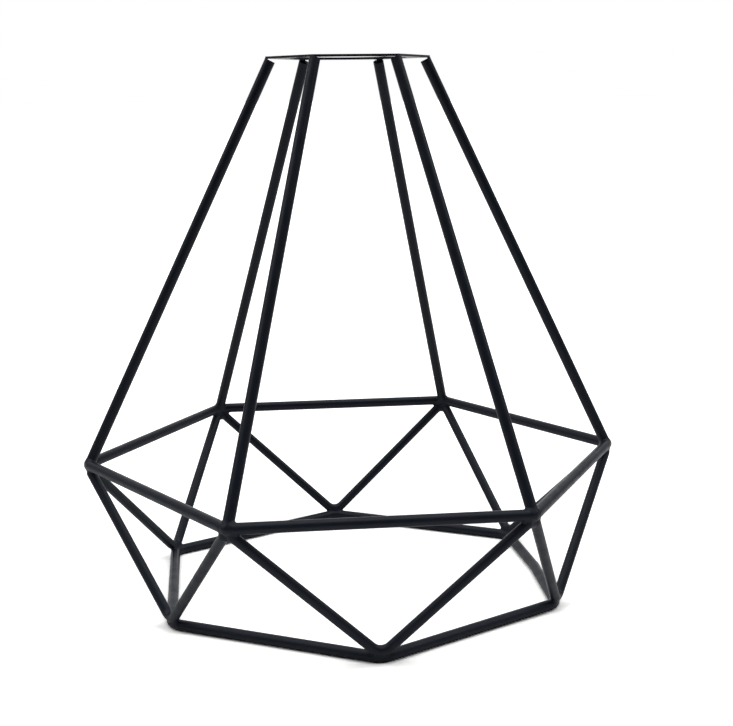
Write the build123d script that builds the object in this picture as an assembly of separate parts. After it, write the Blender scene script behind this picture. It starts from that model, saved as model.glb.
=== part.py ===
from build123d import *
import math
import os

# A hanging lampshade welded from round steel rod: a small hexagonal plate that the lampholder clamps,
# six straight rods spreading down to a wide waist hexagon, six V-bent rods below it, and a smaller
# base hexagon turned half a side against the waist. Millimetres, Z up, standing on the base hexagon.

# Stock, with its powder coat
ROD_D = 3.9               # drawn steel rod of the two hexagons and the six upper rods
V_ROD_D = 3.6             # thinner rod of the six Vs
PLATE_T = 0.8             # sheet that the top plate is cut from

# Main sizes, to the centre line of the rod and to the sharp corner that the bend rounds off
WAIST_R = 99.0            # axis to a waist corner
BASE_R = 79.8             # axis to a base corner
WAIST_RISE = 48.4         # base hexagon up to the waist hexagon
HEIGHT = 197.5            # floor to the top face of the plate

# Top plate
LAMPHOLDER_HOLE_D = 42.0  # clears the threaded barrel of a large screw-cap lampholder
PLATE_RIM = 4.8           # sheet left round the hole, at its narrowest, for the clamping ring
PLATE_CORNER_R = 0.8      # the plate's corners are eased after cutting

# Bends, at the centre line
WAIST_BEND_R = 4.4
BASE_BEND_R = 6.5
V_BEND_R = 4.6

# Joints
WELD_SINK = 0.8           # how far a rod's square end is drawn into the weld
TOP_FACET = 0.15          # how far the outer lip of an upper rod is dressed flat under the plate
V_TIP_RISE = 0.9          # centre lines of a V would cross this far above the base hexagon's
V_OVERSHOOT = 1.0         # centre lines of a V pass this far outside the waist corners
BASE_CLOSURE_BOW = 1.7    # the base hexagon's right side is bowed out where its rod ends were joined

SIDES = 6
SECTOR_DEG = 360 / SIDES
HALF_SECTOR = math.radians(SECTOR_DEG / 2)
ROD_R = ROD_D / 2
V_ROD_R = V_ROD_D / 2
BASE_Z = ROD_R
WAIST_Z = BASE_Z + WAIST_RISE
PLATE_BOTTOM_Z = HEIGHT - PLATE_T
PLATE_R = (LAMPHOLDER_HOLE_D / 2 + PLATE_RIM) / math.cos(HALF_SECTOR)

# Corners of the waist, and the V tips half a side on from them, both counted round from +X
CORNERS = ("right", "back_right", "back_left", "left", "front_left", "front_right")
V_TIPS = ("back_right", "back", "back_left", "front_left", "front", "front_right")


def around(radius, sectors, z):
    """Point at a radius from the axis, at a bearing counted in sectors from +X."""
    turn = math.radians(sectors * SECTOR_DEG)
    return Vector(radius * math.cos(turn), radius * math.sin(turn), z)


def bent_rod(points, bend_r, rod_r, closed):
    """One rod bent at each corner of a line of points."""
    line = FilletPolyline(*points, radius=bend_r, close=closed)
    start = Plane(origin=line @ 0, z_dir=line % 0)
    return sweep(start * Circle(rod_r), path=line)


def straight_rod(start, end):
    """One rod cut square at both ends."""
    run = end - start
    return Plane(origin=start, z_dir=run) * Cylinder(
        ROD_R, run.length, align=(Align.CENTER, Align.CENTER, Align.MIN)
    )


# Top plate
plate_outline = fillet(RegularPolygon(PLATE_R, SIDES).vertices(), PLATE_CORNER_R)
plate = extrude(plate_outline - Circle(LAMPHOLDER_HOLE_D / 2), PLATE_T)
plate = Pos(0, 0, PLATE_BOTTOM_Z) * plate

# Waist hexagon, one rod bent at six corners
waist_points = [around(WAIST_R, corner, WAIST_Z) for corner in range(SIDES)]
waist_ring = bent_rod(waist_points, WAIST_BEND_R, ROD_R, closed=True)

# Base hexagon, one rod whose ends were butt welded half way along the right side
base_points = [around(BASE_R, corner + 0.5, BASE_Z) for corner in range(SIDES)]
base_points.append(around(BASE_R * math.cos(HALF_SECTOR) + BASE_CLOSURE_BOW, 0, BASE_Z))
base_ring = bent_rod(base_points, BASE_BEND_R, ROD_R, closed=True)

# Upper rod at the right-hand corner: from the waist bend to the rim of the plate's corner
bend_cut = WAIST_BEND_R * (1 / math.cos(HALF_SECTOR) - 1)
foot = around(WAIST_R - bend_cut, 0, WAIST_Z)
lean = math.atan2(foot.X - PLATE_R, PLATE_BOTTOM_Z - WAIST_Z)
head = Vector(
    PLATE_R - ROD_R * math.cos(lean),
    0,
    PLATE_BOTTOM_Z + TOP_FACET - ROD_R * math.sin(lean),
)
foot_end = foot + (head - foot).normalized() * (ROD_R - WELD_SINK)
strut = straight_rod(foot_end, head) - waist_ring
strut = split(strut, Plane.XY.offset(PLATE_BOTTOM_Z), keep=Keep.BOTTOM)

# Lower V with its tip on the base corner at +X, its arms running up to the waist corners beside it
side_r = WAIST_R * math.cos(HALF_SECTOR)
half_side = WAIST_R * math.sin(HALF_SECTOR)
tip = Vector(BASE_R, 0, BASE_Z + V_TIP_RISE)
end_drop = ROD_R + V_ROD_R - WELD_SINK
arm_ends = []
for side in (-1, 1):
    top = Vector(side_r, side * (half_side + V_OVERSHOOT), WAIST_Z)
    arm = tip - top
    arm_ends.append(top + arm * (end_drop / (WAIST_Z - tip.Z)))
lower_v = bent_rod([arm_ends[0], tip, arm_ends[1]], V_BEND_R, V_ROD_R, closed=False)

# Where the arms of two neighbours would touch, each is dressed back to the plane between them
for side in (-1, 1):
    outward = (-math.sin(HALF_SECTOR), side * math.cos(HALF_SECTOR), 0)
    lower_v = split(lower_v, Plane(origin=(0, 0, 0), z_dir=outward), keep=Keep.BOTTOM)

nodes = {"top_plate": plate, "waist_ring": waist_ring, "base_ring": base_ring}
for corner, name in enumerate(CORNERS):
    nodes["upper_strut_" + name] = Rot(0, 0, corner * SECTOR_DEG) * strut
for corner, name in enumerate(V_TIPS):
    turned = Rot(0, 0, (corner + 0.5) * SECTOR_DEG) * lower_v
    nodes["lower_v_" + name] = turned - base_ring - waist_ring

os.makedirs("parts", exist_ok=True)
for name, solid in nodes.items():
    export_step(solid, f"parts/{name}.step")
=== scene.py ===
import math

import bpy
from bpy.props import FloatProperty, FloatVectorProperty, IntProperty, PointerProperty
from bpy.types import Operator, Panel, PropertyGroup
from mathutils import Matrix, Vector


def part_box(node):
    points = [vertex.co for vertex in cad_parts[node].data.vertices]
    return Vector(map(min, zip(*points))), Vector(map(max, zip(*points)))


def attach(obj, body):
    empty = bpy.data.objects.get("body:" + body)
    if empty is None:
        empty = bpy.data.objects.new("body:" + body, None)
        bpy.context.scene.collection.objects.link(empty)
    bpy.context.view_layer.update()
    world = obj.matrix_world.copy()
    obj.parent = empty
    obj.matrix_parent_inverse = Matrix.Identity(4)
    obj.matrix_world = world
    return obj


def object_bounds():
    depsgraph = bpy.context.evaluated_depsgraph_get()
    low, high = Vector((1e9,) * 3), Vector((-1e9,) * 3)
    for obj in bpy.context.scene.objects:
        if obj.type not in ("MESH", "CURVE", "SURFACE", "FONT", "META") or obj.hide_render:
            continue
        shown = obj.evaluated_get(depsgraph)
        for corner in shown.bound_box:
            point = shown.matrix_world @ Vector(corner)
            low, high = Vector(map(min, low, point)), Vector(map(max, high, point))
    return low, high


bl_info = {
    "name": "Welded Cage Lampshade",
    "version": (1, 0, 0),
    "blender": (4, 5, 0),
    "location": "3D View > Sidebar > Lampshade",
    "description": "Dresses a hexagonal steel rod lampshade with its weld fillets and its black powder coat",
    "category": "Add Mesh",
}

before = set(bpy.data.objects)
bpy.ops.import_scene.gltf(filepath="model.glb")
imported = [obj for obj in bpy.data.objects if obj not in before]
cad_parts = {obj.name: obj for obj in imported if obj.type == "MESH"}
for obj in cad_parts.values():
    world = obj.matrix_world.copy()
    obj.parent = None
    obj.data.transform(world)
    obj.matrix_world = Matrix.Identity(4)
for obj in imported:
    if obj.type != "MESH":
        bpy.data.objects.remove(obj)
cad_low, cad_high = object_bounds()
waist_low, waist_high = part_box("waist_ring")
base_low, base_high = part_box("base_ring")
plate_low, plate_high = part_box("top_plate")

MM = 0.001
SIDES = 6
SECTOR = math.tau / SIDES
HALF = SECTOR / 2
CENTRE_SHIFT = 0.6  # centre of a weld, in rod radii off the ring's line towards the rods that it joins
DROP_DEPTH = 1.7    # the drop of metal under a waist corner, in rod radii below the ring's line
RIM_SHARE = 0.8     # inner end of the face that stands for a plate's corner, as a share of its outer end
NOISE_LOW, NOISE_HIGH = 0.3, 0.7  # range that a noise mostly keeps to
CORNERS = ("right", "back_right", "back_left", "left", "front_left", "front_right")
TIPS = ("back_right", "back", "back_left", "front_left", "front", "front_right")

# Line groups that the weld tree tells apart at a joint
RING_GROUP, STRUT_GROUP, LEFT_V_GROUP, RIGHT_V_GROUP, LUMP_GROUP, PLATE_GROUP = range(6)

# Numbers of the joints, which seed their ripples
WAIST_JOINTS, BASE_JOINTS, PLATE_JOINTS, CLOSURE_JOINT = 0, 20, 40, 60


def length(name, description, default, **limits):
    """A size property in metres."""
    return FloatProperty(
        name=name, description=description, default=default,
        unit="LENGTH", subtype="DISTANCE", precision=5, **limits,
    )


def share(name, description, default):
    """A property between nought and one."""
    return FloatProperty(
        name=name, description=description, default=default, min=0.0, max=1.0, subtype="FACTOR",
    )


def strength(name, description, default, least=0.0):
    """A brightness property."""
    return FloatProperty(name=name, description=description, default=default, min=least)


def angle(name, description, degrees):
    """An angle property, given in degrees."""
    return FloatProperty(
        name=name, description=description, default=math.radians(degrees), subtype="ANGLE",
    )


def colour(name, description, hex_value):
    """A colour property. Its default is given as sRGB hex."""
    return FloatVectorProperty(
        name=name, description=description, default=linear(hex_value),
        subtype="COLOR", size=3, min=0.0, max=1.0,
    )


def linear(hex_value):
    """An sRGB hex colour as linear red, green and blue."""
    shares = [int(hex_value[i:i + 2], 16) / 255 for i in (1, 3, 5)]
    return tuple(c / 12.92 if c <= 0.04045 else ((c + 0.055) / 1.055) ** 2.4 for c in shares)


class CageSizes(PropertyGroup):
    """Centre lines of the rods, as the welds need them."""

    rod_diameter: length(
        "Rod Diameter", "Rod of the hexagons and the upper rods", waist_high.z - waist_low.z,
    )
    v_rod_diameter: length("V Rod Diameter", "Thinner rod of the six Vs", 3.6 * MM)
    waist_bend: length("Waist Bend", "Bend radius of the waist hexagon, at the centre line", 4.4 * MM)
    base_bend: length("Base Bend", "Bend radius of the base hexagon, at the centre line", 6.5 * MM)
    v_bend: length("V Bend", "Bend radius of the lower rods at their tips", 4.6 * MM)
    tip_rise: length("Tip Rise", "How far a V's lines would cross above the base hexagon's", 0.9 * MM)
    overshoot: length("Overshoot", "How far a V's lines pass outside the waist corners", 1.0 * MM)
    closure_bow: length("Closure Bow", "How far the base hexagon's right side is bowed out", 1.7 * MM)
    weld_sink: length("Weld Sink", "How far a rod's square end is drawn into the weld", 0.8 * MM)
    top_facet: length("Top Facet", "How far an upper rod's outer lip is dressed flat", 0.15 * MM)
    plate_corner: length("Plate Corner", "Radius that eases the plate's corners", 0.8 * MM)


class WeldSizes(PropertyGroup):
    """The fused metal at the joints."""

    fillet: length("Fillet", "Width of the weld from the seam up each rod", 1.9 * MM)
    plate_fillet: length("Plate Fillet", "Width of the weld under the plate", 0.5 * MM)
    plate_bead: length("Plate Bead", "Radius of the bead at the outer lip of an upper rod", 0.45 * MM)
    plate_bead_inset: length("Plate Bead Inset", "How far that bead lies inside the plate's corner", 0.5 * MM)
    plate_bead_drop: length("Plate Bead Drop", "How far it lies below the plate", 0.2 * MM)
    plate_bead_half: length("Plate Bead Half Length", "Middle of that bead to its end", 0.5 * MM)
    reach: length("Reach", "Distance from a joint at which its weld ends inside the rods", 7.0 * MM)
    plate_reach: length("Plate Reach", "The same for a weld under the plate", 4.5 * MM)
    closure_reach: length("Closure Reach", "The same for the base hexagon's butt weld", 4.0 * MM)
    sink: length("Sink", "Depth at which the end of a weld runs under the rod's skin", 0.05 * MM)
    lump_height: length("Lump Height", "Height of the weld's uneven surface", 0.32 * MM)
    lump_width: length("Lump Width", "Distance between two ripples of the weld", 1.1 * MM)
    drop_radius: length("Drop Radius", "Lump of metal between the two arms under a waist corner", 1.25 * MM)
    drop_inset: length("Drop Inset", "How far that lump lies inside the bend of the waist", 0.9 * MM)
    drop_length: length("Drop Length", "Height of that lump between its round ends", 0.3 * MM)
    closure_radius: length(
        "Closure Radius", "Radius of the base hexagon's butt weld, dressed almost flush", 1.97 * MM,
    )
    closure_half: length("Closure Half Length", "Middle of the butt weld to its end", 0.9 * MM)
    closure_inset: length("Closure Inset", "How far the butt weld lies inside the bow", 0.1 * MM)
    closure_fillet: length("Closure Fillet", "Width over which the butt weld runs out into the rod", 0.3 * MM)
    cell: length("Cell", "Size of the cells that the weld's surface is drawn with", 0.17 * MM)
    seed: IntProperty(name="Seed", description="Number added to each joint's own for its ripples", default=0)


class CoatLook(PropertyGroup):
    """Satin black powder coat."""

    shade: colour("Coat", "Colour of the cured powder", "#181c25")
    thin: colour("Thin Coat", "Colour where the powder lies thinner", "#1f232d")
    roughness: share("Roughness", "Satin gloss of the coat", 0.42)
    roughness_spread: share("Roughness Spread", "How far the gloss wanders to either side", 0.07)
    grazing_gloss: share("Grazing Gloss", "Share of the roughness that is left at a grazing view", 0.6)
    grazing_start: share("Grazing Start", "Turn from the view at which the gloss begins to sharpen", 0.7)
    grazing_end: share("Grazing End", "Turn from the view at which it is sharpest", 0.95)
    specular: share("Specular", "How much the coat mirrors head on", 0.24)
    film_width: length("Film Width", "Distance over which the film's thickness wanders", 18.0 * MM)
    gloss_width: length("Gloss Width", "Distance over which its gloss wanders", 5.0 * MM)
    sheen_tint: colour("Sheen Tint", "Cool cast of the gloss on blue-black pigment", "#eef2ff")
    peel_width: length("Orange Peel Width", "Distance between two waves of the coat's orange peel", 1.5 * MM)
    peel_depth: length("Orange Peel Depth", "Height of those waves", 0.025 * MM)
    grain_width: length("Grain Width", "Distance between the fine grains of the coat", 0.35 * MM)
    grain_depth: length("Grain Depth", "Height of those grains", 0.012 * MM)
    nib_spacing: length("Nib Spacing", "Mean distance between two specks of dust under the coat", 6.0 * MM)
    nib_width: length("Nib Width", "Width of such a speck", 0.5 * MM)
    nib_height: length("Nib Height", "Height of such a speck", 0.08 * MM)


class StageLook(PropertyGroup):
    """Pale floor, soft light and the camera."""

    floor: colour("Floor", "Colour of the plain floor", "#dadad9")
    floor_reach: length("Floor Reach", "How far the floor runs to the back and to the sides", 30.0)
    floor_front: length("Floor Front", "How far the floor runs towards the camera", 0.45)
    floor_glare: strength("Floor Glare", "How far the camera overexposes the floor", 2.8, 1.0)
    floor_mirrored: strength("Mirrored Floor", "How far the coat's mirror image overexposes it", 1.3, 1.0)
    camera_place: FloatVectorProperty(
        name="Camera Place", description="Where the photographer's lens stood", subtype="XYZ", unit="LENGTH",
        default=(-0.05337, -0.50381, 0.18467), size=3, precision=5,
    )
    camera_azimuth: angle("Azimuth", "Turn of the camera round the shade", -6.66)
    camera_elevation: angle("Elevation", "How far the camera looks down", 11.10)
    camera_roll: angle("Roll", "Tilt of the camera about its own line of sight", -0.62)
    camera_lens: FloatProperty(
        name="Lens", description="Focal length on a sensor 36 mm wide, in millimetres",
        default=67.80, min=1.0,
    )
    top_strength: strength("Top Light", "Soft box overhead", 1.4)
    top_width: angle("Top Width", "Angle that the overhead box fills, seen from the shade", 60)
    side_strength: strength("Side Lights", "Soft boxes to the left and to the right", 0.79)
    side_width: angle("Side Width", "Angle that a side box fills, seen from the shade", 44)
    side_tilt: angle("Side Tilt", "Turn of a side box from straight overhead", 48)
    sweep: strength("Sweep", "Light from the pale sweep behind the shade", 0.4)
    sweep_edge: share("Sweep Edge", "Share of a direction that points back where the sweep begins", 0.55)
    sweep_full: share("Sweep Full", "Where the sweep is at full strength, given the same way", 0.85)


# Line work: the rods' centre lines, which the weld follows

def around(radius, sectors, z):
    """Point at a radius from the axis, at a bearing counted in sectors from +X."""
    turn = sectors * SECTOR
    return Vector((radius * math.cos(turn), radius * math.sin(turn), z))


def bend(before, corner, after, radius):
    """Centre line of a rod that is bent once, as points."""
    into = (corner - before).normalized()
    out = (after - corner).normalized()
    turn = into.angle(out)
    back = radius * math.tan(turn / 2)
    start = corner - into * back
    across = (out - into * into.dot(out)).normalized()
    steps = 28
    points = [before]
    for i in range(steps + 1):
        a = turn * i / steps
        points.append(start + into * (radius * math.sin(a)) + across * (radius * (1 - math.cos(a))))
    points.append(after)
    return points


class Cage:
    """Heights, radii and centre lines of the cage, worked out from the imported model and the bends."""

    def __init__(self, sizes):
        self.rod = sizes.rod_diameter / 2
        self.v_rod = sizes.v_rod_diameter / 2
        self.waist_z = (waist_low.z + waist_high.z) / 2
        self.base_z = (base_low.z + base_high.z) / 2
        flare = 1 / math.cos(HALF) - 1
        self.waist_bend_r = waist_high.x - self.rod
        self.waist_r = self.waist_bend_r + sizes.waist_bend * flare
        self.base_r = base_high.y - self.rod + sizes.base_bend * flare
        self.plate_r = plate_high.x + sizes.plate_corner * flare
        self.plate_bottom = plate_low.z
        self.plate_top = plate_high.z
        self.sizes = sizes

    def waist_corner(self, corner):
        side = self.waist_r * math.cos(HALF)
        return bend(
            around(side, corner - 0.5, self.waist_z),
            around(self.waist_r, corner, self.waist_z),
            around(side, corner + 0.5, self.waist_z),
            self.sizes.waist_bend,
        )

    def base_corner(self, corner):
        side = self.base_r * math.cos(HALF)
        ends = []
        for half in (0, 1):
            bearing = corner + half
            bow = self.sizes.closure_bow if bearing % SIDES == 0 else 0
            ends.append(around(side + bow, bearing, self.base_z))
        return bend(
            ends[0], around(self.base_r, corner + 0.5, self.base_z), ends[1], self.sizes.base_bend,
        )

    def strut(self, corner):
        lean = math.atan2(self.waist_bend_r - self.plate_r, self.plate_bottom - self.waist_z)
        head_r = self.plate_r - self.rod * math.cos(lean)
        head_z = self.plate_bottom + self.sizes.top_facet - self.rod * math.sin(lean)
        foot = around(self.waist_bend_r, corner, self.waist_z)
        return [foot, around(head_r, corner, head_z)]

    def lower_v(self, tip):
        """Centre line of a V from arm end to arm end. The ends are where the rod is cut, under the waist."""
        across = around(1, tip + 2, 0)
        side = around(self.waist_r * math.cos(HALF), tip + 0.5, self.waist_z)
        half_side = self.waist_r * math.sin(HALF) + self.sizes.overshoot
        point = around(self.base_r, tip + 0.5, self.base_z + self.sizes.tip_rise)
        drop = self.rod + self.v_rod - self.sizes.weld_sink
        ends = []
        for hand in (-1, 1):
            top = side + across * (hand * half_side)
            arm = point - top
            ends.append(top + arm * (drop / abs(arm.z)))
        return bend(ends[0], point, ends[1], self.sizes.v_bend)


def line_work(name, lines, faces=()):
    """Mesh of centre lines and flat faces. Its attribute 'group' tells rods, lump and plate apart."""
    vertices, edges, edge_groups = [], [], []
    for group, points in lines:
        first = len(vertices)
        vertices += points
        edges += [(first + i, first + i + 1) for i in range(len(points) - 1)]
        edge_groups += [group] * (len(points) - 1)
    polygons = []
    for points in faces:
        first = len(vertices)
        vertices += points
        polygons.append(tuple(range(first, first + len(points))))
    mesh = bpy.data.meshes.new(name)
    mesh.from_pydata([tuple(v) for v in vertices], edges, polygons)
    groups = mesh.attributes.new("group", "INT", "EDGE")
    for i, edge in enumerate(mesh.edges):
        groups.data[i].value = edge_groups[i] if i < len(edge_groups) else PLATE_GROUP
    piece = bpy.data.objects.new(name, mesh)
    bpy.context.scene.collection.objects.link(piece)
    return piece


# Node trees

def add_node(tree, kind, inputs=None, **settings):
    """A node with its settings. Each input takes a value, a socket, or a node for its first output."""
    node = tree.nodes.new(kind)
    for setting, value in settings.items():
        setattr(node, setting, value)
    for where, what in (inputs or {}).items():
        if isinstance(what, bpy.types.Node):
            what = what.outputs[0]
        if isinstance(what, bpy.types.NodeSocket):
            tree.links.new(what, node.inputs[where])
        else:
            node.inputs[where].default_value = what
    return node


def weld_tree():
    """Geometry nodes that fill the seams between rods with fused metal.

    The distance to each rod's skin is blended by a smooth minimum, so the surface swells only in the corner
    between two rods, as a weld does, and runs out under their skin. Ripples are added where it swells.
    """
    tree = bpy.data.node_groups.new("Weld Between Rods", "GeometryNodeTree")
    sockets = {
        "Geometry": ("Centre Lines",),
        "Float": (
            "Rod Radius", "V Rod Radius", "Plate Half Thickness", "Lump Radius", "Fillet", "Sink", "Reach",
            "Ripple Height", "Ripple Width", "Cell", "Seed",
        ),
        "Vector": ("Centre", "Cut Point", "Cut Direction", "Lowest", "Highest"),
        "Material": ("Coat",),
    }
    for kind, names in sockets.items():
        for name in names:
            tree.interface.new_socket(name, in_out="INPUT", socket_type="NodeSocket" + kind)
    tree.interface.new_socket("Weld", in_out="OUTPUT", socket_type="NodeSocketGeometry")
    given = {socket.name: socket for socket in add_node(tree, "NodeGroupInput").outputs}

    here = add_node(tree, "GeometryNodeInputPosition")
    group = add_node(tree, "GeometryNodeInputNamedAttribute", {"Name": "group"}, data_type="INT")

    def skin(target, number, radius):
        """Distance from here to the skin of one group, or far away where the joint lacks it."""
        near = add_node(
            tree, "GeometryNodeProximity",
            {0: given["Centre Lines"], "Group ID": group, "Sample Position": here, "Sample Group ID": number},
            target_element=target,
        ).outputs
        off = add_node(tree, "ShaderNodeMath", {0: near["Distance"], 1: radius}, operation="SUBTRACT")
        far = 1.0
        return add_node(
            tree, "GeometryNodeSwitch", {0: near["Is Valid"], 1: far, 2: off}, input_type="FLOAT",
        )

    # A rod is cut square, so its skin ends at the plane of the cut
    from_cut = add_node(tree, "ShaderNodeVectorMath", {0: here, 1: given["Cut Point"]}, operation="SUBTRACT")
    past_cut = add_node(
        tree, "ShaderNodeVectorMath", {0: from_cut, 1: given["Cut Direction"]}, operation="DOT_PRODUCT",
    ).outputs["Value"]
    parts = []
    for number, radius in (
        (RING_GROUP, "Rod Radius"), (STRUT_GROUP, "Rod Radius"),
        (LEFT_V_GROUP, "V Rod Radius"), (RIGHT_V_GROUP, "V Rod Radius"),
    ):
        rod = skin("EDGES", number, given[radius])
        parts.append(add_node(tree, "ShaderNodeMath", {0: rod, 1: past_cut}, operation="MAXIMUM"))
    parts.append(skin("EDGES", LUMP_GROUP, given["Lump Radius"]))
    parts.append(skin("FACES", PLATE_GROUP, given["Plate Half Thickness"]))
    plain = smooth = parts[0]
    for part in parts[1:]:
        smooth = add_node(
            tree, "ShaderNodeMath", {0: smooth, 1: part, 2: given["Fillet"]}, operation="SMOOTH_MIN",
        )
        plain = add_node(tree, "ShaderNodeMath", {0: plain, 1: part}, operation="MINIMUM")

    # The ripples reach their full height where the weld swells by this share of its width
    full_share = 0.12
    full = add_node(tree, "ShaderNodeMath", {0: given["Fillet"], 1: full_share}, operation="MULTIPLY")
    swell = add_node(tree, "ShaderNodeMath", {0: plain, 1: smooth}, operation="SUBTRACT")
    swell = add_node(tree, "ShaderNodeMath", {0: swell, 1: full}, operation="DIVIDE")
    swell = add_node(tree, "ShaderNodeMath", {0: swell, 1: 1.0}, operation="MINIMUM")
    closeness = add_node(tree, "ShaderNodeMath", {0: 1.0, 1: given["Ripple Width"]}, operation="DIVIDE")
    noise = add_node(
        tree, "ShaderNodeTexNoise",
        {"Vector": here, "W": given["Seed"], "Scale": closeness, "Detail": 1.0, "Roughness": 0.4},
        noise_dimensions="4D",
    )
    level = 0.45
    ripple = add_node(tree, "ShaderNodeMath", {0: noise, 1: level}, operation="SUBTRACT")
    ripple = add_node(tree, "ShaderNodeMath", {0: ripple, 1: given["Ripple Height"]}, operation="MULTIPLY")
    ripple = add_node(tree, "ShaderNodeMath", {0: ripple, 1: swell}, operation="MULTIPLY")
    rippled = add_node(tree, "ShaderNodeMath", {0: smooth, 1: ripple}, operation="SUBTRACT")

    # The weld runs out under the rods' skin, at its reach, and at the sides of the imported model's box
    sunk = add_node(tree, "ShaderNodeMath", {0: rippled, 1: given["Sink"]}, operation="ADD")
    from_centre = add_node(
        tree, "ShaderNodeVectorMath", {0: here, 1: given["Centre"]}, operation="DISTANCE",
    ).outputs["Value"]
    past = add_node(tree, "ShaderNodeMath", {0: from_centre, 1: given["Reach"]}, operation="SUBTRACT")
    outside = add_node(tree, "ShaderNodeMath", {0: sunk, 1: past}, operation="MAXIMUM")
    for end, start in ((given["Lowest"], here), (here, given["Highest"])):
        past = add_node(tree, "ShaderNodeVectorMath", {0: end, 1: start}, operation="SUBTRACT")
        for side in add_node(tree, "ShaderNodeSeparateXYZ", {0: past}).outputs:
            outside = add_node(tree, "ShaderNodeMath", {0: outside, 1: side}, operation="MAXIMUM")

    # Depth under the surface in millimetres, which the mesh is drawn at where it is nought
    depth = add_node(tree, "ShaderNodeMath", {0: outside, 1: -1 / MM}, operation="MULTIPLY")
    cells_outside = 3.0
    margin = add_node(tree, "ShaderNodeMath", {0: given["Cell"], 1: cells_outside}, operation="MULTIPLY")
    half = add_node(tree, "ShaderNodeMath", {0: given["Reach"], 1: margin}, operation="ADD")
    whole = add_node(tree, "ShaderNodeMath", {0: half, 1: 2.0}, operation="MULTIPLY")
    count = add_node(tree, "ShaderNodeMath", {0: whole, 1: given["Cell"]}, operation="DIVIDE")
    cells = add_node(tree, "FunctionNodeFloatToInt", {0: count})
    corner = add_node(tree, "ShaderNodeCombineXYZ", {0: half, 1: half, 2: half})
    lowest = add_node(tree, "ShaderNodeVectorMath", {0: given["Centre"], 1: corner}, operation="SUBTRACT")
    highest = add_node(tree, "ShaderNodeVectorMath", {0: given["Centre"], 1: corner}, operation="ADD")
    block = add_node(
        tree, "GeometryNodeVolumeCube",
        {
            "Density": depth, "Background": -1.0, "Min": lowest, "Max": highest,
            "Resolution X": cells, "Resolution Y": cells, "Resolution Z": cells,
        },
    )
    shell = add_node(
        tree, "GeometryNodeVolumeToMesh", {0: block, "Threshold": 0.0, "Adaptivity": 0.0},
        resolution_mode="GRID",
    )
    smooth_shell = add_node(tree, "GeometryNodeSetShadeSmooth", {0: shell})
    real = add_node(tree, "GeometryNodeRealizeInstances", {0: smooth_shell})
    coated = add_node(tree, "GeometryNodeSetMaterial", {0: real, "Material": given["Coat"]})
    add_node(tree, "NodeGroupOutput", {0: coated})
    return tree


def make_weld(name, lines, centre, joint, inputs=None, faces=()):
    """One joint's weld metal as a closed mesh, parented to the root body's empty.

    The joint's number seeds its ripples, and the inputs stand in for the tree's usual ones.
    """
    scene = bpy.context.scene
    cage, weld = scene.cage_sizes, scene.weld_sizes
    tree = bpy.data.node_groups.get("Weld Between Rods") or weld_tree()
    source = line_work(name + "_lines", lines, faces)
    modifier = source.modifiers.new("Weld", "NODES")
    modifier.node_group = tree
    values = {
        "Rod Radius": cage.rod_diameter / 2,
        "V Rod Radius": cage.v_rod_diameter / 2,
        "Plate Half Thickness": (plate_high.z - plate_low.z) / 2,
        "Lump Radius": weld.drop_radius,
        "Fillet": weld.fillet,
        "Sink": weld.sink,
        "Centre": centre,
        "Reach": weld.reach,
        # Without a square cut, the plane of the cut lies far above
        "Cut Point": cad_high + Vector((0, 0, 1)),
        "Cut Direction": (0, 0, 1),
        "Lowest": cad_low,
        "Highest": cad_high,
        "Ripple Height": weld.lump_height,
        "Ripple Width": weld.lump_width,
        "Cell": weld.cell,
        "Seed": float(weld.seed + joint),
        "Coat": powder_coat(),
    }
    values.update(inputs or {})
    for item in tree.interface.items_tree:
        if item.in_out == "INPUT" and item.name in values:
            modifier[item.identifier] = values[item.name]
    source.update_tag()
    shape = source.evaluated_get(bpy.context.evaluated_depsgraph_get())
    mesh = bpy.data.meshes.new_from_object(shape)
    lines_mesh = source.data
    bpy.data.objects.remove(source)
    bpy.data.meshes.remove(lines_mesh)
    if not mesh.polygons:
        raise RuntimeError(name + " came out empty")
    mesh.name = name
    piece = bpy.data.objects.new(name, mesh)
    scene.collection.objects.link(piece)
    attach(piece, "root")
    return piece


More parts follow.
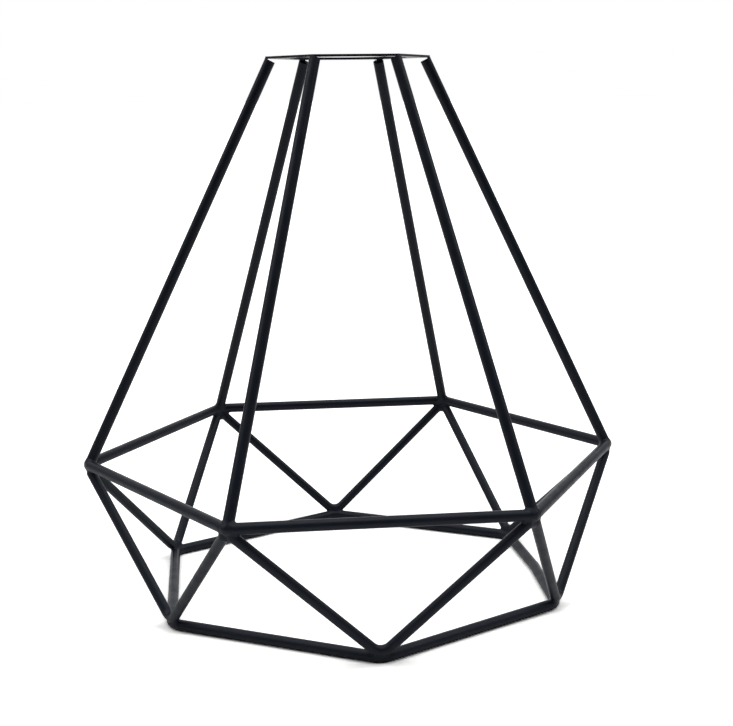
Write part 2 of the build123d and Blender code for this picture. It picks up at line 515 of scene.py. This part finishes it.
def powder_coat():
    """Polyester powder coat, sprayed dry on the welded cage and baked.

    The melt levels into soft waves, the orange peel, with a fine grain over them that spreads each highlight
    into a satin band, and here and there a speck of dust is caught under the coat.
    """
    name = "Satin black powder coat on mild steel"
    if name in bpy.data.materials:
        return bpy.data.materials[name]
    look = bpy.context.scene.coat_look
    coat = bpy.data.materials.new(name)
    coat.use_nodes = True
    tree = coat.node_tree
    tree.nodes.clear()
    place = add_node(tree, "ShaderNodeTexCoord").outputs["Object"]

    waves = {}
    for layer, width, detail in (
        ("film", look.film_width, 2.0), ("gloss", look.gloss_width, 3.0),
        ("peel", look.peel_width, 1.0), ("grain", look.grain_width, 2.0),
    ):
        waves[layer] = add_node(
            tree, "ShaderNodeTexNoise",
            {"Vector": place, "Scale": 1 / width, "Detail": detail, "Roughness": 0.5},
        )

    # Film thickness wanders over a few centimetres of rod, and the colour and the gloss go with it
    pigment = add_node(
        tree, "ShaderNodeMix", {0: waves["film"], 6: (*look.shade, 1.0), 7: (*look.thin, 1.0)},
        data_type="RGBA",
    ).outputs[2]
    spread = look.roughness_spread
    gloss = add_node(
        tree, "ShaderNodeMapRange",
        {"Value": waves["gloss"], "From Min": NOISE_LOW, "From Max": NOISE_HIGH,
         "To Min": look.roughness - spread, "To Max": look.roughness + spread},
    )
    # Seen along the surface, the waves hide each other and the coat mirrors sharply
    facing = add_node(tree, "ShaderNodeLayerWeight", {"Blend": 0.5}).outputs["Facing"]
    grazing = add_node(
        tree, "ShaderNodeMapRange",
        {"Value": facing, "From Min": look.grazing_start, "From Max": look.grazing_end,
         "To Min": 1.0, "To Max": look.grazing_gloss},
    )
    gloss = add_node(tree, "ShaderNodeMath", {0: gloss, 1: grazing}, operation="MULTIPLY")

    nibs = add_node(
        tree, "ShaderNodeTexVoronoi", {"Vector": place, "Scale": 1 / look.nib_spacing, "Randomness": 1.0},
    ).outputs["Distance"]
    nib = add_node(
        tree, "ShaderNodeMapRange",
        {"Value": nibs, "From Min": look.nib_width / look.nib_spacing / 2, "From Max": 0.0,
         "To Min": 0.0, "To Max": 1.0},
        interpolation_type="SMOOTHSTEP",
    )

    # Each relief lies over the slopes of the one before
    under = {}
    for height, depth in (
        (waves["peel"], look.peel_depth), (waves["grain"], look.grain_depth), (nib, look.nib_height),
    ):
        relief = add_node(
            tree, "ShaderNodeBump", {"Height": height, "Distance": depth, "Strength": 1.0, **under},
        )
        under = {"Normal": relief}
    skin = add_node(
        tree, "ShaderNodeBsdfPrincipled",
        {"Base Color": pigment, "Roughness": gloss, "Specular IOR Level": look.specular,
         "Specular Tint": (*look.sheen_tint, 1.0), "IOR": 1.5, "Metallic": 0.0, "Normal": relief},
    )
    add_node(tree, "ShaderNodeOutputMaterial", {"Surface": skin})
    return coat


class LAMPSHADE_OT_coat_cage(Operator):
    """Give every rod and the plate their black powder coat"""

    bl_idname = "lampshade.coat_cage"
    bl_label = "Coat the Cage"

    def execute(self, context):
        coat = powder_coat()
        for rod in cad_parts.values():
            rod.data.materials.clear()
            rod.data.materials.append(coat)
        return {"FINISHED"}


class LAMPSHADE_OT_weld_waist(Operator):
    """Weld each upper rod and the arms of two Vs to a corner of the waist hexagon"""

    bl_idname = "lampshade.weld_waist"
    bl_label = "Weld the Waist"

    def execute(self, context):
        cage = Cage(context.scene.cage_sizes)
        weld = context.scene.weld_sizes
        drop_r = cage.waist_bend_r - weld.drop_inset
        for corner, name in enumerate(CORNERS):
            centre = around(cage.waist_bend_r, corner, cage.waist_z - cage.rod * CENTRE_SHIFT)
            drop = around(drop_r, corner, cage.waist_z - cage.rod * DROP_DEPTH)
            lines = [
                (RING_GROUP, cage.waist_corner(corner)),
                (STRUT_GROUP, cage.strut(corner)),
                (LEFT_V_GROUP, cage.lower_v(corner - 1)),
                (RIGHT_V_GROUP, cage.lower_v(corner)),
                (LUMP_GROUP, [drop, drop + Vector((0, 0, weld.drop_length))]),
            ]
            make_weld("weld_waist_" + name, lines, centre, WAIST_JOINTS + corner)
        return {"FINISHED"}


class LAMPSHADE_OT_weld_base(Operator):
    """Weld the tip of each V down onto a corner of the base hexagon"""

    bl_idname = "lampshade.weld_base"
    bl_label = "Weld the Base"

    def execute(self, context):
        cage = Cage(context.scene.cage_sizes)
        for corner, name in enumerate(TIPS):
            lines = [(RING_GROUP, cage.base_corner(corner)), (LEFT_V_GROUP, cage.lower_v(corner))]
            centre = around(cage.base_r, corner + 0.5, cage.base_z + cage.rod * CENTRE_SHIFT)
            make_weld("weld_base_" + name, lines, centre, BASE_JOINTS + corner)
        return {"FINISHED"}


class LAMPSHADE_OT_weld_plate(Operator):
    """Weld the head of each upper rod under a corner of the plate"""

    bl_idname = "lampshade.weld_plate"
    bl_label = "Weld the Plate"

    def execute(self, context):
        cage = Cage(context.scene.cage_sizes)
        weld = context.scene.weld_sizes
        half = (cage.plate_top - cage.plate_bottom) / 2
        middle = cage.plate_bottom + half
        outline_r = cage.plate_r - half / math.cos(HALF)
        side_r = outline_r * math.cos(HALF)
        rim_r = outline_r * RIM_SHARE
        bead_r = cage.plate_r - weld.plate_bead_inset
        for corner, name in enumerate(CORNERS):
            # The plate's corner as a flat four-sided face that ends short of the hole
            face = [
                around(side_r, corner - 0.5, middle),
                around(outline_r, corner, middle),
                around(side_r, corner + 0.5, middle),
                around(rim_r, corner, middle),
            ]
            foot, head = cage.strut(corner)
            bead = around(bead_r, corner, cage.plate_bottom - weld.plate_bead_drop)
            across = around(weld.plate_bead_half, corner + SIDES / 4, 0)
            lines = [(STRUT_GROUP, [foot, head]), (LUMP_GROUP, [bead - across, bead + across])]
            centre = around(cage.plate_r - cage.rod, corner, cage.plate_bottom)
            values = {
                "Cut Point": head, "Cut Direction": (head - foot).normalized(),
                "Reach": weld.plate_reach, "Lump Radius": weld.plate_bead, "Fillet": weld.plate_fillet,
            }
            make_weld("weld_plate_" + name, lines, centre, PLATE_JOINTS + corner, values, [face])
        return {"FINISHED"}


class LAMPSHADE_OT_weld_closure(Operator):
    """Butt weld the base hexagon's own rod ends half way along its right side"""

    bl_idname = "lampshade.weld_closure"
    bl_label = "Weld the Base Closure"

    def execute(self, context):
        sizes, weld = context.scene.cage_sizes, context.scene.weld_sizes
        cage = Cage(sizes)
        middle = around(cage.base_r * math.cos(HALF) + sizes.closure_bow, 0, cage.base_z)
        before = around(cage.base_r, -0.5, cage.base_z)
        after = around(cage.base_r, 0.5, cage.base_z)
        centre = middle - Vector((weld.closure_inset, 0, 0))
        along = Vector((0, weld.closure_half, 0))
        lines = [
            (RING_GROUP, bend(before, middle, after, sizes.base_bend)),
            (LUMP_GROUP, [centre - along, centre + along]),
        ]
        values = {
            "Reach": weld.closure_reach, "Lump Radius": weld.closure_radius, "Fillet": weld.closure_fillet,
        }
        make_weld("weld_base_closure", lines, centre, CLOSURE_JOINT, values)
        return {"FINISHED"}


class LAMPSHADE_OT_stage(Operator):
    """Set the pale floor, the soft light and the camera"""

    bl_idname = "lampshade.stage"
    bl_label = "Set the Stage"

    def execute(self, context):
        look = context.scene.stage_look
        self.lay_floor(look)
        self.light_room(context.scene, look)
        self.place_camera(context.scene, look)
        return {"FINISHED"}

    def lay_floor(self, look):
        far, front = look.floor_reach, -look.floor_front
        corners = [(-far, front, 0), (far, front, 0), (far, far, 0), (-far, far, 0)]
        mesh = bpy.data.meshes.new("floor")
        mesh.from_pydata(corners, [], [(0, 1, 2, 3)])
        floor = bpy.data.objects.new("floor", mesh)
        bpy.context.scene.collection.objects.link(floor)
        paint = bpy.data.materials.new("Matt white paper floor")
        paint.use_nodes = True
        tree = paint.node_tree
        tree.nodes.clear()
        # The camera overexposes the paper, so its soft shadows burn out and only the deep ones stay. It does
        # the same to the coat's mirror image of the paper, a little.
        path = add_node(tree, "ShaderNodeLightPath").outputs
        seen = add_node(
            tree, "ShaderNodeMath", {0: path["Is Camera Ray"], 1: path["Is Transmission Ray"]},
            operation="MAXIMUM",
        )
        colours = (*look.floor, 1.0)
        for rays, glare in ((path["Is Glossy Ray"], look.floor_mirrored), (seen, look.floor_glare)):
            burnt = (*(part * glare for part in look.floor), 1.0)
            colours = add_node(
                tree, "ShaderNodeMix", {0: rays, 6: colours, 7: burnt}, data_type="RGBA",
            ).outputs[2]
        paper = add_node(tree, "ShaderNodeBsdfDiffuse", {"Color": colours})
        add_node(tree, "ShaderNodeOutputMaterial", {"Surface": paper})
        mesh.materials.append(paint)

    def light_room(self, scene, look):
        world = bpy.data.worlds.new("Studio")
        world.use_nodes = True
        scene.world = world
        tree = world.node_tree
        tree.nodes.clear()
        way = add_node(tree, "ShaderNodeTexCoord").outputs["Generated"]
        depth = add_node(tree, "ShaderNodeSeparateXYZ", {0: way}).outputs["Y"]

        # The room is dark on the camera's side. The pale sweep behind the shade lights it a little. The coat
        # mirrors the sweep, and the camera sees it burnt out to white.
        path = add_node(tree, "ShaderNodeLightPath").outputs
        sweep = add_node(
            tree, "ShaderNodeMix", {0: path["Is Glossy Ray"], 2: look.sweep, 3: 1.0}, data_type="FLOAT",
        )
        room = add_node(
            tree, "ShaderNodeMapRange",
            {"Value": depth, "From Min": look.sweep_edge, "From Max": look.sweep_full,
             "To Min": 0.0, "To Max": sweep},
            interpolation_type="SMOOTHSTEP",
        )
        seen = add_node(
            tree, "ShaderNodeMath", {0: path["Is Camera Ray"], 1: path["Is Transmission Ray"]},
            operation="MAXIMUM",
        )
        brightness = add_node(tree, "ShaderNodeMix", {0: seen, 2: room, 3: 1.0}, data_type="FLOAT")
        sky = add_node(
            tree, "ShaderNodeBackground", {"Color": (1.0, 1.0, 1.0, 1.0), "Strength": brightness},
        )
        add_node(tree, "ShaderNodeOutputWorld", {"Surface": sky})

        # Three soft boxes: one overhead and one on either side, seen from the shade as wide discs of light
        for name, energy, width, tilt in (
            ("Overhead soft box", look.top_strength, look.top_width, 0),
            ("Left soft box", look.side_strength, look.side_width, -look.side_tilt),
            ("Right soft box", look.side_strength, look.side_width, look.side_tilt),
        ):
            lamp = bpy.data.lights.new(name, "SUN")
            lamp.energy = energy
            lamp.angle = width
            box = bpy.data.objects.new(name, lamp)
            box.rotation_euler = (0, tilt, 0)
            scene.collection.objects.link(box)

    def place_camera(self, scene, look):
        a, e, r = look.camera_azimuth, look.camera_elevation, look.camera_roll
        right = Vector((math.cos(a), math.sin(a), 0))
        back = Vector((math.sin(a) * math.cos(e), -math.cos(a) * math.cos(e), math.sin(e)))
        up = back.cross(right)
        rolled_right = right * math.cos(r) + up * math.sin(r)
        rolled_up = up * math.cos(r) - right * math.sin(r)
        lens = bpy.data.cameras.new("Camera")
        lens.lens = look.camera_lens
        lens.sensor_width = 36.0
        lens.sensor_fit = "HORIZONTAL"
        lens.clip_start = 0.01
        lens.clip_end = 100.0
        camera = bpy.data.objects.new("Camera", lens)
        camera.matrix_world = Matrix((
            (rolled_right.x, rolled_up.x, back.x, look.camera_place[0]),
            (rolled_right.y, rolled_up.y, back.y, look.camera_place[1]),
            (rolled_right.z, rolled_up.z, back.z, look.camera_place[2]),
            (0, 0, 0, 1),
        ))
        scene.collection.objects.link(camera)
        scene.camera = camera
        scene.view_settings.view_transform = "Standard"


class LAMPSHADE_PT_steps(Panel):
    """The steps that dress the lampshade, in order"""

    bl_idname = "LAMPSHADE_PT_steps"
    bl_label = "Lampshade"
    bl_space_type = "VIEW_3D"
    bl_region_type = "UI"
    bl_category = "Lampshade"

    def draw(self, context):
        for step in STEPS:
            self.layout.operator(step.bl_idname)


STEPS = (
    LAMPSHADE_OT_coat_cage,
    LAMPSHADE_OT_weld_waist,
    LAMPSHADE_OT_weld_base,
    LAMPSHADE_OT_weld_plate,
    LAMPSHADE_OT_weld_closure,
    LAMPSHADE_OT_stage,
)
GROUPS = {"cage_sizes": CageSizes, "weld_sizes": WeldSizes, "coat_look": CoatLook, "stage_look": StageLook}


def register():
    for group in GROUPS.values():
        bpy.utils.register_class(group)
    for name, group in GROUPS.items():
        setattr(bpy.types.Scene, name, PointerProperty(type=group))
    for step in STEPS:
        bpy.utils.register_class(step)
    bpy.utils.register_class(LAMPSHADE_PT_steps)


def unregister():
    bpy.utils.unregister_class(LAMPSHADE_PT_steps)
    for step in reversed(STEPS):
        bpy.utils.unregister_class(step)
    for name, group in GROUPS.items():
        delattr(bpy.types.Scene, name)
        bpy.utils.unregister_class(group)


def main():
    """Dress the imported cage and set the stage."""
    register()
    for step in STEPS:
        family, name = step.bl_idname.split(".")
        getattr(getattr(bpy.ops, family), name)()


if __name__ == "__main__":
    main()
